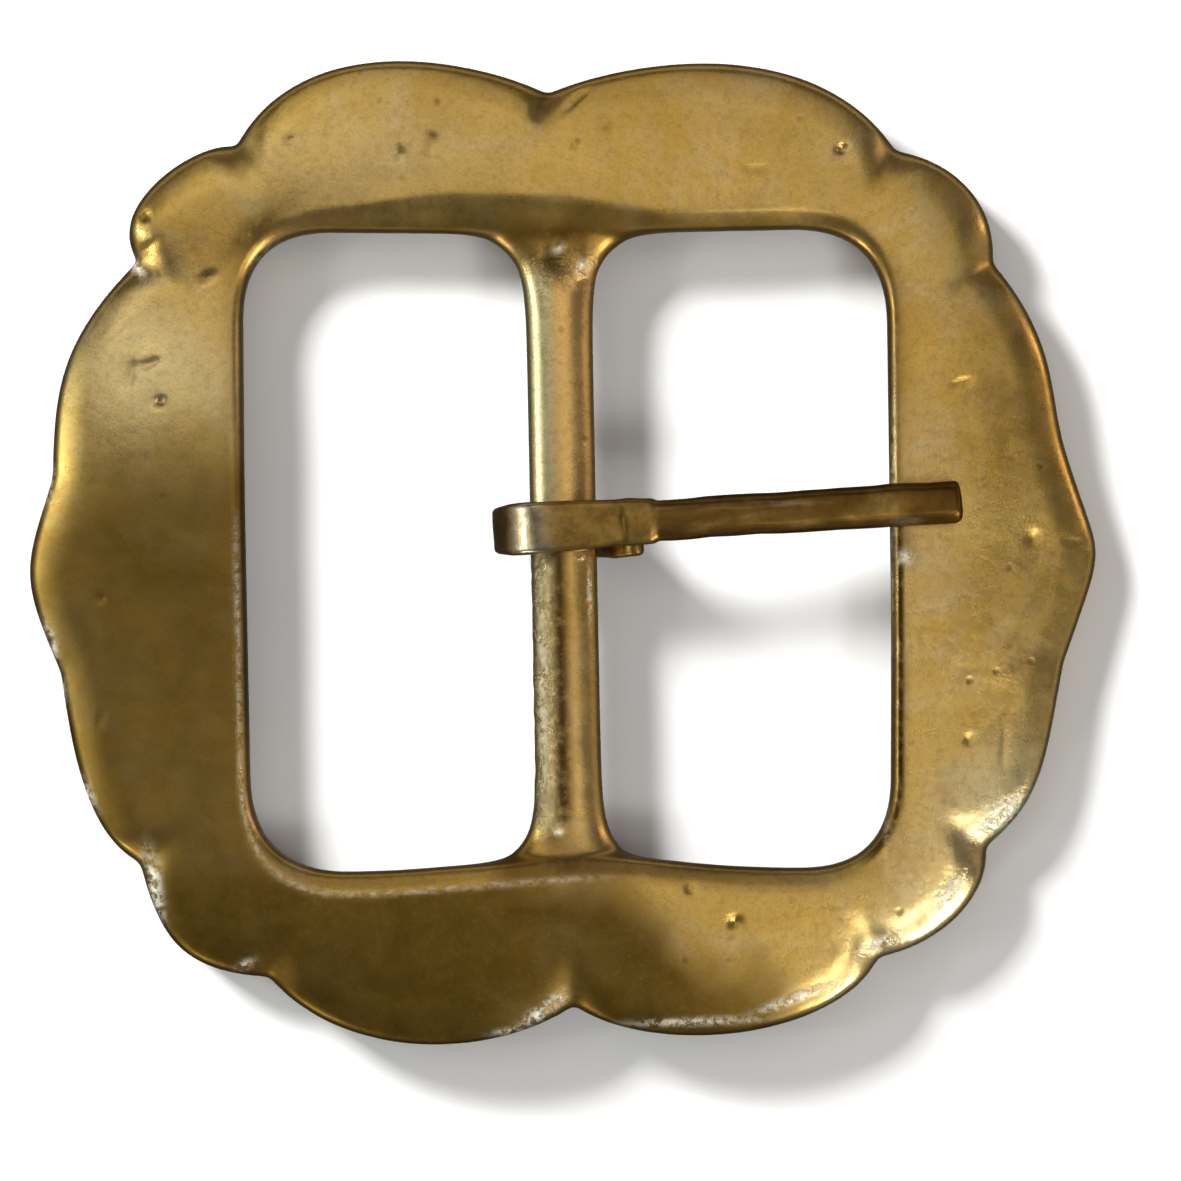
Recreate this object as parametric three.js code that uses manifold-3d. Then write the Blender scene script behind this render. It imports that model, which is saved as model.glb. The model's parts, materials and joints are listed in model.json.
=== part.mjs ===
// A cast brass belt buckle for a dress belt: a scalloped frame with two windows and an integral
// centre bar, and a prong whose flattened end is curled round the bar and whose tip rests on the
// right-hand rail. Millimetres. The face seen in wear looks up (+Z), the prong points along the
// belt (+X), and the bar runs across the belt (Y). The frame is arched along the belt, so it
// stands on the backs of its left and right rails, and the prong's loop clears the ground.
import * as THREE from 'three';
import { mergeVertices } from 'three/addons/utils/BufferGeometryUtils.js';
import { TessellateModifier } from 'three/addons/modifiers/TessellateModifier.js';
import Module from 'manifold-3d';

const wasm = await Module();
wasm.setup();

const DEGREE = Math.PI / 180;

// Frame: 76.4 wide along the belt, 70.2 across it.
const FRAME_THICKNESS = 3.4;
const ARCH_RISE = 2.6; // how far the frame stands up at mid-belt
const ARCH_HALF_SPAN = 37.36; // where the back meets the ground, each side
const EDGE_ROUND = 0.9; // rounding of every rim, outside and round the windows
const EDGE_STEPS = 2;
const RIM_STEPS = 8; // straight facets in each scallop and each corner of the opening
const LONGEST_EDGE = 7; // of a facet, so that the plates bend evenly

// The scalloped rim: each stretch starts at a notch and swells out to the next one. `reach` is
// how far along the chord each end's handle lies, as a share of it; `swell` is how far it stands out.
const SCALLOPS = [
  { from: [-1.1, 32.8], reach: [0.22, 0.27], swell: [3.6, 7.9] }, // top left
  { from: [-23.4, 28.9], reach: [0.12, 0.12], swell: [2.3, 4.7] }, // upper left corner
  { from: [-30.5, 20.7], reach: [0.45, 0.36], swell: [3.2, 2.2] }, // left shoulder
  { from: [-36.6, 5.2], reach: [0.47, 0.52], swell: [2.4, 2.8] }, // left middle
  { from: [-36.0, -8.8], reach: [0.47, 0.2], swell: [1.9, 2.4] }, // left foot
  { from: [-30.3, -22.4], reach: [0.37, 0.42], swell: [3.0, 4.0] }, // lower left corner
  { from: [-21.0, -30.5], reach: [0.26, 0.27], swell: [5.4, 4.6] }, // bottom left
  { from: [0.8, -32.5], reach: [0.22, 0.18], swell: [4.5, 5.4] }, // bottom right
  { from: [22.6, -29.1], reach: [0.4, 0.18], swell: [2.9, 2.4] }, // lower right corner
  { from: [30.3, -21.2], reach: [0.32, 0.53], swell: [2.4, 1.7] }, // right foot
  { from: [35.9, -8.0], reach: [0.63, 0.58], swell: [3.5, 2.7] }, // right middle
  { from: [35.9, 7.6], reach: [0.31, 0.6], swell: [0.5, 2.4] }, // right shoulder
  { from: [30.8, 20.6], reach: [0.19, 0.43], swell: [2.1, 3.6] }, // upper right corner
  { from: [23.8, 28.6], reach: [0.28, 0.22], swell: [7.4, 4.0] }, // top right
];

// The opening inside the rails, which the bar divides into two windows: corners and their radii.
// It suits a strap 44.5 wide (1 3/4 in).
const OPENING = [
  { at: [-22.8, 22.7], radius: 5 },
  { at: [-21.6, -22.9], radius: 5 },
  { at: [23.4, -22.6], radius: 4.5 },
  { at: [23.0, 22.9], radius: 4.3 },
];

// Centre bar, cast in one with the frame and a little out of square with it.
const BAR_HALF_WIDTH = 2.45;
const BAR_BOTTOM = 2.75;
const BAR_TOP = 5.55;
const BAR_EDGE_ROUND = 0.9;
const BAR_FLARE = 2.6; // radius of the fillets where the bar meets the rails
const BAR_FLARE_STEPS = 4;
const BAR_HALF_LENGTH = 22.8;
const BAR_ROOT = 2.4; // how far the bar's ends reach into the rails
const BAR_LEAN = 0.85 * DEGREE;
const BAR_OFFSET = 0.075;

// Prong: its strip end curls round the bar's axis and is tucked back under itself.
const AXIS_HEIGHT = (BAR_BOTTOM + BAR_TOP) / 2;
const PRONG_AT = [0.05, 1.7];
const PRONG_SKEW = 3.6 * DEGREE;
const STRIP_WIDTH = 4.0;
const STRIP_THICKNESS = 1.1;
const STRIP_EDGE_ROUND = 0.2;
const STRIP_END = 6.6; // where the strip gives way to the round shank
const LOOP_RADIUS = 3.35; // from the bar's axis to the middle of the strip
const LOOP_SLACK = 1.15; // extra length of the loop behind the bar
const LOOP_LIFT = 60 * DEGREE; // how steeply the strip comes up on the right of the bar
const LOOP_STEPS = 10; // straight facets in each curve of the loop
const TUCK_GAP = 0.3; // between the tucked end and the strip over it
const TUCK_END = 5.6;
const SHANK_HALF_WIDTH = 1.52;
const SHANK_FLATNESS = 0.72; // thickness of the shank over its width
const SHANK_LENGTH = 21.8;
const SHANK_OVERLAP = 0.8; // how far it reaches back into the strip
const SHANK_SHOULDER = 0.3; // how far from the strip's end it is at full width
const SHANK_TIP_ROUND = 0.45;
const SHANK_TIP_STEPS = 3;
const SHANK_SIDES = 20;
const SHANK_DROP = 3.5 * DEGREE; // the shank falls from the bar to the rail

const brass = new THREE.MeshStandardMaterial({ color: 0xb28c4a, roughness: 0.38, metalness: 1 });
const agedBrass = new THREE.MeshStandardMaterial({ color: 0x75603c, roughness: 0.45, metalness: 1 });

function archHeight(x) {
  return ARCH_RISE * (1 - (x / ARCH_HALF_SPAN) ** 2);
}

function scallopedShape() {
  const shape = new THREE.Shape();
  shape.moveTo(...SCALLOPS[0].from);
  SCALLOPS.forEach(({ from, reach, swell }, i) => {
    const start = new THREE.Vector2(...from);
    const end = new THREE.Vector2(...SCALLOPS[(i + 1) % SCALLOPS.length].from);
    const chord = end.clone().sub(start);
    const outward = new THREE.Vector2(chord.y, -chord.x).normalize();
    const first = start.clone().addScaledVector(chord, reach[0]).addScaledVector(outward, swell[0]);
    const second = end.clone().addScaledVector(chord, -reach[1]).addScaledVector(outward, swell[1]);
    shape.bezierCurveTo(first.x, first.y, second.x, second.y, end.x, end.y);
  });
  return shape;
}

// A closed path with straight sides and a rounded corner of its own radius at each point.
function roundedPath(corners) {
  const path = new THREE.Path();
  corners.forEach(({ at, radius }, i) => {
    const corner = new THREE.Vector2(...at);
    const before = new THREE.Vector2(...corners.at(i - 1).at);
    const after = new THREE.Vector2(...corners[(i + 1) % corners.length].at);
    const start = corner.clone().add(before.sub(corner).setLength(radius));
    const end = corner.clone().add(after.sub(corner).setLength(radius));
    if (i === 0) {
      path.moveTo(start.x, start.y);
    } else {
      path.lineTo(start.x, start.y);
    }
    path.quadraticCurveTo(corner.x, corner.y, end.x, end.y);
  });
  path.closePath();
  return path;
}

// A plate of the given outline whose rims are rounded inwards, standing on z = 0.
function roundedPlate(shape, thickness, round, bevelSegments, curveSegments) {
  const plate = new THREE.ExtrudeGeometry(shape, {
    depth: thickness - 2 * round,
    bevelThickness: round,
    bevelSize: round,
    bevelOffset: -round,
    bevelSegments,
    curveSegments,
  });
  return plate.translate(0, 0, round);
}

// Cuts long edges in two until none is too long. Each pass cuts one edge of a triangle.
function subdivided(geometry) {
  const passes = 8;
  return new TessellateModifier(LONGEST_EDGE, passes).modify(geometry);
}

function bend(geometry) {
  const position = geometry.getAttribute('position');
  for (let i = 0; i < position.count; i += 1) {
    position.setZ(i, position.getZ(i) + archHeight(position.getX(i)));
  }
  return geometry;
}

function toSolid(geometry) {
  const bare = geometry.clone();
  bare.deleteAttribute('normal');
  bare.deleteAttribute('uv');
  const merged = mergeVertices(bare, 1e-4);
  return new wasm.Manifold(new wasm.Mesh({
    numProp: 3,
    vertProperties: new Float32Array(merged.getAttribute('position').array),
    triVerts: new Uint32Array(merged.getIndex().array),
  }));
}

function toGeometry(solid) {
  const { vertProperties, triVerts } = solid.getMesh();
  const geometry = new THREE.BufferGeometry();
  geometry.setAttribute('position', new THREE.BufferAttribute(vertProperties, 3));
  geometry.setIndex(new THREE.BufferAttribute(triVerts, 1));
  geometry.computeVertexNormals();
  return geometry;
}

function namedMesh(name, solid, material) {
  const mesh = new THREE.Mesh(toGeometry(solid), material);
  mesh.name = name;
  return mesh;
}

function barShape() {
  const foot = BAR_HALF_WIDTH + BAR_FLARE;
  const quarter = [];
  for (let step = 0; step <= BAR_FLARE_STEPS; step += 1) {
    const turn = (step / BAR_FLARE_STEPS) * 90 * DEGREE;
    quarter.push(new THREE.Vector2(
      foot - BAR_FLARE * Math.cos(turn),
      BAR_HALF_LENGTH - BAR_FLARE * (1 - Math.sin(turn)),
    ));
  }
  quarter.push(new THREE.Vector2(foot, BAR_HALF_LENGTH + BAR_ROOT));
  const mirrored = (x, y) => quarter.map((point) => new THREE.Vector2(x * point.x, y * point.y));
  return new THREE.Shape([
    ...mirrored(1, 1),
    ...mirrored(-1, 1).reverse(),
    ...mirrored(-1, -1),
    ...mirrored(1, -1).reverse(),
  ]);
}

function frameSolid() {
  const outline = scallopedShape();
  outline.holes.push(roundedPath(OPENING));
  const plate = roundedPlate(outline, FRAME_THICKNESS, EDGE_ROUND, EDGE_STEPS, RIM_STEPS);
  const rails = bend(subdivided(plate));
  const bar = subdivided(roundedPlate(barShape(), BAR_TOP - BAR_BOTTOM, BAR_EDGE_ROUND, EDGE_STEPS, 1));
  bar.rotateZ(BAR_LEAN);
  bar.translate(BAR_OFFSET, 0, BAR_BOTTOM);
  return toSolid(rails).add(toSolid(bar));
}

// The strip's middle line in side view, from the shank over the bar, round its left side, back
// underneath, and up to where the end is tucked under the start. The bar's axis is at 0, 0.
function loopPath() {
  const leave = new THREE.Vector2(Math.sin(LOOP_LIFT), -Math.cos(LOOP_LIFT)).multiplyScalar(LOOP_RADIUS);
  const tuckY = LOOP_RADIUS - STRIP_THICKNESS - TUCK_GAP;
  const path = new THREE.Path();
  path.moveTo(STRIP_END, LOOP_RADIUS);
  path.lineTo(-LOOP_SLACK, LOOP_RADIUS);
  path.absarc(-LOOP_SLACK, 0, LOOP_RADIUS, Math.PI / 2, 1.5 * Math.PI, false);
  path.lineTo(0, -LOOP_RADIUS);
  path.absarc(0, 0, LOOP_RADIUS, -Math.PI / 2, LOOP_LIFT - Math.PI / 2, false);
  path.bezierCurveTo(leave.x + 0.9, leave.y + 1.6, TUCK_END - 1.6, tuckY, TUCK_END, tuckY);
  return path;
}

// A strip of even thickness along a middle line, as a closed shape.
function stripShape(points, thickness) {
  const upper = [];
  const lower = [];
  points.forEach((point, i) => {
    const before = points[Math.max(i - 1, 0)];
    const after = points[Math.min(i + 1, points.length - 1)];
    const along = after.clone().sub(before).normalize();
    const across = new THREE.Vector2(-along.y, along.x).multiplyScalar(thickness / 2);
    upper.push(point.clone().add(across));
    lower.unshift(point.clone().sub(across));
  });
  return new THREE.Shape([...upper, ...lower]);
}

// The shank as turned about its own length: drawn in from the strip's width, then even all the
// way to a squared-off tip with a rounded edge. It starts just inside the strip.
function shankGeometry() {
  const tipStart = SHANK_LENGTH - SHANK_TIP_ROUND;
  const profile = [
    new THREE.Vector2(0, -SHANK_OVERLAP),
    new THREE.Vector2(STRIP_THICKNESS / 2, -SHANK_OVERLAP),
    new THREE.Vector2(SHANK_HALF_WIDTH, SHANK_SHOULDER),
    new THREE.Vector2(SHANK_HALF_WIDTH, tipStart / 2),
  ];
  for (let step = 0; step <= SHANK_TIP_STEPS; step += 1) {
    const turn = (step / SHANK_TIP_STEPS) * 90 * DEGREE;
    profile.push(new THREE.Vector2(
      SHANK_HALF_WIDTH - SHANK_TIP_ROUND * (1 - Math.cos(turn)),
      tipStart + SHANK_TIP_ROUND * Math.sin(turn),
    ));
  }
  profile.push(new THREE.Vector2(0, SHANK_LENGTH));
  return new THREE.LatheGeometry(profile, SHANK_SIDES);
}

function prongSolid() {
  const section = stripShape(loopPath().getPoints(LOOP_STEPS), STRIP_THICKNESS);
  const strip = roundedPlate(section, STRIP_WIDTH, STRIP_EDGE_ROUND, 1, 1);
  strip.rotateX(Math.PI / 2);
  strip.translate(0, STRIP_WIDTH / 2, 0);
  const shank = shankGeometry();
  shank.rotateZ(-Math.PI / 2);
  shank.scale(1, 1, SHANK_FLATNESS);
  shank.rotateY(SHANK_DROP);
  shank.translate(STRIP_END, 0, LOOP_RADIUS);
  return toSolid(strip).add(toSolid(shank));
}

const buckle = new THREE.Group();
buckle.name = 'belt_buckle';
buckle.add(namedMesh('frame', frameSolid(), brass));

const prong = namedMesh('prong', prongSolid(), agedBrass);
prong.position.set(...PRONG_AT, AXIS_HEIGHT);
prong.rotation.z = PRONG_SKEW;
buckle.add(prong);

export default buckle;
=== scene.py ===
"""A cast brass belt buckle: a scalloped, arched frame with a centre bar, and a curled prong.

Both pieces are cut from implicit shapes, meshed finely and given procedural metal. Shapes are
worked out in millimetres, with the frame's axes, and turned into metres when they are meshed.
A field gives the distance from a shape's surface, negative inside it.
"""
import json
import math

import bpy
import numpy as np
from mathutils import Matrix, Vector


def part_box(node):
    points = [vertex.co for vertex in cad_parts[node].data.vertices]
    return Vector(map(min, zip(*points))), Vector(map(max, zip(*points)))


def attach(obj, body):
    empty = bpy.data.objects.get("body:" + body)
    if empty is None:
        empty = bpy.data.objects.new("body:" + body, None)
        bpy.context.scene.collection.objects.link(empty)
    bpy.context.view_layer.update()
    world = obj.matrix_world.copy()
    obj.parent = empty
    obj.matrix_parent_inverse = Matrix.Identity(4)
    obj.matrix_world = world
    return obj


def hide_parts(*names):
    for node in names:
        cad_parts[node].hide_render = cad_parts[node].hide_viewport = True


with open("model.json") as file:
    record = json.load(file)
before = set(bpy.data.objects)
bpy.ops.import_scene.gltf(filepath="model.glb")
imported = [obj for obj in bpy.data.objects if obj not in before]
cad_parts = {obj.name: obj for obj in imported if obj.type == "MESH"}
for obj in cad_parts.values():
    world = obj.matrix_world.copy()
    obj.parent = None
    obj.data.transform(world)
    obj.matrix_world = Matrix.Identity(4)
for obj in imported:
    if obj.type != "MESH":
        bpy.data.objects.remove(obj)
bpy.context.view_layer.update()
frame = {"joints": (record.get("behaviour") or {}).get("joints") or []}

MM = 0.001

# ---------------------------------------------------------------- driving dimensions (mm)

PRONG_JOINT = frame["joints"][0]
AXIS = np.array(PRONG_JOINT["pos_m"]) / MM
FRAME_LOW, FRAME_HIGH = (np.array(corner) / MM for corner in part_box("frame"))

THICKNESS = 3.4
ARCH_RISE = FRAME_HIGH[2] - THICKNESS
ARCH_HALF_SPAN = 37.36

# Each stretch of the rim starts at a notch and swells out to the next one: how far each end's
# handle lies along the chord, as a share of it, and how far it stands out.
SCALLOPS = [
    ((-1.1, 32.6), (0.22, 0.27), (3.4, 7.7)),  # top left
    ((-23.4, 28.9), (0.12, 0.12), (2.3, 4.7)),  # upper left corner
    ((-30.5, 20.7), (0.45, 0.36), (3.2, 2.2)),  # left shoulder
    ((-36.6, 5.2), (0.47, 0.52), (2.4, 2.8)),  # left middle
    ((-36.0, -8.8), (0.47, 0.2), (1.9, 2.4)),  # left foot
    ((-30.3, -22.4), (0.37, 0.42), (3.0, 4.0)),  # lower left corner
    ((-21.0, -30.5), (0.26, 0.27), (5.4, 4.6)),  # bottom left
    ((0.8, -32.5), (0.22, 0.18), (4.5, 5.4)),  # bottom right
    ((22.6, -29.1), (0.4, 0.18), (2.9, 2.4)),  # lower right corner
    ((30.3, -21.2), (0.32, 0.53), (2.4, 1.7)),  # right foot
    ((35.9, -8.0), (0.63, 0.58), (3.5, 2.7)),  # right middle
    ((35.9, 7.6), (0.31, 0.5), (0.5, 2.3)),  # right shoulder
    ((30.8, 20.6), (0.19, 0.43), (2.1, 3.6)),  # upper right corner
    ((23.8, 28.6), (0.27, 0.24), (7.3, 3.7)),  # top right
]
SOFT_NOTCHES = (3, 4, 10, 11)  # the waists beside the left and right middles have no groove
NOTCH_ROUND = 0.3

# The opening's corners, and how far from each its rounding starts. The bar crosses it afterwards.
OPENING = [
    ((-23.0, 22.85), 6.4),
    ((-22.85, 4.0), 4.0),
    ((-22.3, -23.0), 6.8),
    ((-13.0, -23.0), 3.0),
    ((3.0, -21.7), 2.0),
    ((12.5, -22.7), 4.0),
    ((23.5, -22.75), 6.4),
    ((23.55, -5.0), 4.0),
    ((23.15, 23.15), 6.8),
    ((0.0, 22.6), 4.0),
]

RIM_FALL_WIDTH = 2.7  # the face falls away gently towards the rim, then rounds over
RIM_FALL = 0.42
INNER_FALL_WIDTH = 4.6  # and, less, towards the opening
INNER_FALL = 0.09
FACE_DROP = 0.1  # makes room for the unevenness under the frame's full height
OUTER_ROUND = (0.55, 0.5)  # each round's reach inwards and downwards
INNER_ROUND = (0.35, 0.35)
BACK_ROUND = (0.6, 0.6)
# The sloping band round the opening: its width and drop along the sides, at places along the top
# and along the foot.
BAND_SIDE = (0.62, 0.36)
BAND_TOP_PLACES = (-19.0, -8.0, 0.0, 7.0)
BAND_TOP = ((1.0, 2.5, 2.3, 1.2), (0.5, 1.05, 1.0, 0.55))
BAND_FOOT = (1.6, 0.5)
BAND_SOFTNESS = 0.16

GROOVE_DEPTH = 0.36  # the soft valley that runs in from each notch
GROOVE_LENGTH = 4.2
GROOVE_WIDTH = 1.35

BAR_HALF_WIDTH = 2.36
BAR_CREST = 5.2
BAR_BOTTOM = 2.75
BAR_CROWN = 2.1  # the exponents of its oval section, above and below its middle
BAR_SQUARENESS = 4
BAR_LEAN = math.tan(math.radians(1.15))
BAR_OFFSET = 0.06
BAR_BLEND = 0.55
BAR_HALF_LENGTH = 25.0
FLARE_START = 17.5  # the bar widens ever faster from here to the rails
FLARE_SIZE = 0.09
FLARE_PACE = 1.4
FLARE_LIMIT = 3.8
BAR_ROOT_Y = 22.8  # where the bar's top and foot run into the rails
ROOT_HOLLOW_Y = 20.6

STRIP_HALF_WIDTHS = (1.84, 1.56)  # at the curl and where the shank begins
STRIP_THICKNESS = 1.1
STRIP_ROUND = 0.36
STRIP_END = 6.6
LOOP_RADIUS = 3.35
LOOP_SLACK = 1.15
LOOP_LIFT = math.radians(60)
TUCK_GAP = 0.3
TUCK_END = 5.6
TUCK_SHIFT = -0.95  # the tucked end lies a little to one side
SHANK_HALF_WIDTHS = (1.44, 1.55)  # at its root and at its tip
SHANK_HALF_HEIGHT = 1.08
SHANK_SQUARENESS = 2.5  # the exponent of its section
SHANK_OVERLAP = 2.5  # how far it reaches back into the strip
SHANK_LENGTH = 21.8
SHANK_TIP_ROUND = 0.45
SHANK_DROP = math.radians(3.5)
PRONG_SKEW = math.radians(3.6)
PRONG_BLEND = 0.25

FRAME_MESH = 0.28  # the meshes' cells
PRONG_MESH = 0.14

# ---------------------------------------------------------------- small helpers


def smoothstep(low, high, value):
    t = np.clip((value - low) / (high - low), 0, 1)
    return t * t * (3 - 2 * t)


def smooth_min(a, b, k):
    h = np.clip(0.5 + 0.5 * (b - a) / k, 0, 1)
    return b + (a - b) * h - k * h * (1 - h)


def smooth_max(a, b, k):
    return -smooth_min(-a, -b, k)


def waves(coordinates, wavelength, seed, count=14):
    """Soft random unevenness of about unit height, from a sum of plane waves."""
    rng = np.random.default_rng(seed)
    total = 0.0
    for _ in range(count):
        way = rng.normal(size=len(coordinates))
        way *= 2 * math.pi / (wavelength * rng.uniform(0.7, 1.5)) / np.linalg.norm(way)
        phase = rng.uniform(0, 2 * math.pi)
        total = total + np.sin(sum(w * c for w, c in zip(way, coordinates)) + phase)
    return total / math.sqrt(count)


def turned(x, y, at, turn, long, wide):
    """Coordinates about a place, along and across a direction, in shares of the two reaches."""
    cos, sin = math.cos(math.radians(turn)), math.sin(math.radians(turn))
    u = ((x - at[0]) * cos + (y - at[1]) * sin) / long
    v = ((y - at[1]) * cos - (x - at[0]) * sin) / wide
    return u, v


def arch(x):
    return ARCH_RISE * (1 - (x / ARCH_HALF_SPAN) ** 2)


# ---------------------------------------------------------------- outlines


def scalloped_rim(steps=40):
    points = []
    for i, (start, reach, swell) in enumerate(SCALLOPS):
        a = np.array(start)
        d = np.array(SCALLOPS[(i + 1) % len(SCALLOPS)][0])
        chord = d - a
        outward = np.array([chord[1], -chord[0]]) / np.linalg.norm(chord)
        b = a + chord * reach[0] + outward * swell[0]
        c = d - chord * reach[1] + outward * swell[1]
        t = np.arange(steps)[:, None] / steps
        points.append((1 - t) ** 3 * a + 3 * (1 - t) ** 2 * t * b + 3 * (1 - t) * t * t * c + t**3 * d)
    return np.concatenate(points)


def rounded_opening(steps=16):
    points = []
    for i, (corner, radius) in enumerate(OPENING):
        at = np.array(corner)
        ends = []
        for other in (OPENING[i - 1][0], OPENING[(i + 1) % len(OPENING)][0]):
            way = np.array(other) - at
            ends.append(at + way / np.linalg.norm(way) * radius)
        t = np.arange(steps + 1)[:, None] / steps
        points.append((1 - t) ** 2 * ends[0] + 2 * (1 - t) * t * at + t * t * ends[1])
    return np.concatenate(points)


def resampled(points, spacing):
    closed = np.vstack([points, points[:1]])
    along = np.concatenate([[0], np.cumsum(np.linalg.norm(np.diff(closed, axis=0), axis=1))])
    count = int(along[-1] / spacing)
    at = np.linspace(0, along[-1], count, endpoint=False)
    return np.column_stack([np.interp(at, along, closed[:, k]) for k in (0, 1)])


def softened(points, spacing, radius):
    """Rounds the corners of a closed, evenly spaced outline by a short running average."""
    reach = int(3 * radius / spacing)
    offsets = np.arange(-reach, reach + 1)
    weights = np.exp(-0.5 * (offsets * spacing / radius) ** 2)
    weights /= weights.sum()
    return sum(w * np.roll(points, o, axis=0) for w, o in zip(weights, offsets))


class Chart:
    """Fine plan-view grids of heights and distances, read off anywhere between their points."""

    def __init__(self, low, high, spacing):
        self.low = np.array(low, float)
        self.spacing = spacing
        counts = [int((high[k] - low[k]) / spacing) + 1 for k in (0, 1)]
        self.x = self.low[0] + np.arange(counts[0]) * spacing
        self.y = self.low[1] + np.arange(counts[1]) * spacing
        self.grids = {}

    def mesh(self):
        return np.meshgrid(self.x, self.y, indexing="ij")

    def read(self, name, x, y):
        grid = self.grids[name]
        u = np.clip((x - self.low[0]) / self.spacing, 0, grid.shape[0] - 1.001)
        v = np.clip((y - self.low[1]) / self.spacing, 0, grid.shape[1] - 1.001)
        i, j = u.astype(int), v.astype(int)
        u, v = u - i, v - j
        near = grid[i, j] * (1 - v) + grid[i, j + 1] * v
        far = grid[i + 1, j] * (1 - v) + grid[i + 1, j + 1] * v
        return near * (1 - u) + far * u

    def inward_distance(self, outline, reach):
        """Distance in from a closed outline, negative outside it, cut off at reach."""
        distance = np.full((len(self.x), len(self.y)), float(reach))
        span = int(reach / self.spacing) + 1
        for a, b in zip(outline, np.roll(outline, -1, axis=0)):
            i, j = ((a - self.low) / self.spacing).astype(int)
            rows = slice(max(i - span, 0), i + span + 1)
            cols = slice(max(j - span, 0), j + span + 1)
            dx = self.x[rows, None] - a[0]
            dy = self.y[None, cols] - a[1]
            step = b - a
            t = np.clip((dx * step[0] + dy * step[1]) / (step @ step), 0, 1)
            gap = np.hypot(dx - t * step[0], dy - t * step[1])
            distance[rows, cols] = np.minimum(distance[rows, cols], gap)
        return np.where(self.inside(outline), distance, -distance)

    def inside(self, outline):
        after = np.roll(outline, -1, axis=0)
        result = np.zeros((len(self.x), len(self.y)), bool)
        for j, y in enumerate(self.y):
            crossing = (outline[:, 1] > y) != (after[:, 1] > y)
            a, b = outline[crossing], after[crossing]
            at = a[:, 0] + (y - a[:, 1]) * (b[:, 0] - a[:, 0]) / (b[:, 1] - a[:, 1])
            result[:, j] = (np.searchsorted(np.sort(at), self.x) % 2) == 1
        return result


# ---------------------------------------------------------------- meshing an implicit shape


def net(field, low, high, spacing):
    """Quads over the surface where field is 0, negative inside, by surface nets."""
    axes = [np.arange(low[k], high[k] + spacing, spacing) for k in range(3)]
    values = field(axes[0][:, None, None], axes[1][None, :, None], axes[2][None, None, :])
    shape = tuple(n - 1 for n in values.shape)
    total = np.zeros(shape + (3,))
    count = np.zeros(shape)
    edges = []
    for axis in range(3):
        ahead = np.moveaxis(values, axis, 0)
        a, b = ahead[:-1], ahead[1:]
        where = np.argwhere((a < 0) != (b < 0))
        va = a[tuple(where.T)]
        vb = b[tuple(where.T)]
        cell = np.insert(where[:, 1:], axis, where[:, 0], axis=1)
        point = cell.astype(float)
        point[:, axis] += va / (va - vb)
        others = [k for k in range(3) if k != axis]
        keep = np.all([(cell[:, k] > 0) & (cell[:, k] < shape[k]) for k in others], axis=0)
        cell, point, rising = cell[keep], point[keep], (va < 0)[keep]
        around = []
        for du, dv in ((-1, -1), (0, -1), (0, 0), (-1, 0)):
            near = cell.copy()
            near[:, others[0]] += du
            near[:, others[1]] += dv
            np.add.at(total, tuple(near.T), point)
            np.add.at(count, tuple(near.T), 1)
            around.append(np.ravel_multi_index(tuple(near.T), shape))
        quads = np.stack(around, axis=1)
        flip = rising if axis == 1 else ~rising
        quads[flip] = quads[flip][:, ::-1]
        edges.append(quads)
    quads = np.concatenate(edges)
    used, index = np.unique(quads, return_inverse=True)
    points = total.reshape(-1, 3)[used] / count.reshape(-1)[used][:, None]
    points = points * spacing + np.array([axis[0] for axis in axes])
    return points, index.reshape(quads.shape)


def settled(points, field, rounds=3, step=0.04, longest_move=0.15, least_slope=0.05):
    """Moves the points onto the surface, by Newton's method."""
    for _ in range(rounds):
        x, y, z = points.T
        value = field(x, y, z)
        slope = np.stack([
            field(x + step, y, z) - field(x - step, y, z),
            field(x, y + step, z) - field(x, y - step, z),
            field(x, y, z + step) - field(x, y, z - step),
        ], axis=1) / (2 * step)
        size = np.maximum((slope**2).sum(1), least_slope)
        move = -slope * (value / size)[:, None]
        length = np.linalg.norm(move, axis=1, keepdims=True)
        points = points + move * np.minimum(1, longest_move / np.maximum(length, 1e-9))
    return points


def relaxed(points, quads, amount=0.5):
    """Moves each point towards the middle of its neighbours, which evens out the quads."""
    total = np.zeros_like(points)
    count = np.zeros(len(points))
    for k in range(4):
        a, b = quads[:, k], quads[:, (k + 1) % 4]
        np.add.at(total, a, points[b])
        np.add.at(total, b, points[a])
        np.add.at(count, a, 1)
        np.add.at(count, b, 1)
    return points + amount * (total / count[:, None] - points)


def surface(field, low, high, spacing):
    points, quads = net(field, low, high, spacing)
    points = settled(points, field)
    for _ in range(2):
        points = settled(relaxed(points, quads), field, rounds=1)
    return points, quads


def piece(name, points, quads, attributes, material):
    mesh = bpy.data.meshes.new(name)
    mesh.from_pydata((points * MM).tolist(), [], quads.tolist())
    for key, values in attributes.items():
        layer = mesh.attributes.new(key, "FLOAT", "POINT")
        layer.data.foreach_set("value", np.asarray(values, np.float32))
    mesh.shade_smooth()
    mesh.materials.append(material)
    obj = bpy.data.objects.new(name, mesh)
    bpy.context.scene.collection.objects.link(obj)
    return obj


# ---------------------------------------------------------------- the frame's shape

RIM_SPACING = 0.2
GRID_SPACING = 0.1
EDGE_REACH = 5.0

rim = softened(resampled(scalloped_rim(), RIM_SPACING), RIM_SPACING, NOTCH_ROUND)
opening = resampled(rounded_opening(), RIM_SPACING)
chart = Chart(FRAME_LOW[:2] - 2, FRAME_HIGH[:2] + 2, GRID_SPACING)
chart.grids["from_rim"] = chart.inward_distance(rim, EDGE_REACH)
chart.grids["from_opening"] = -chart.inward_distance(opening, EDGE_REACH)


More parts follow.
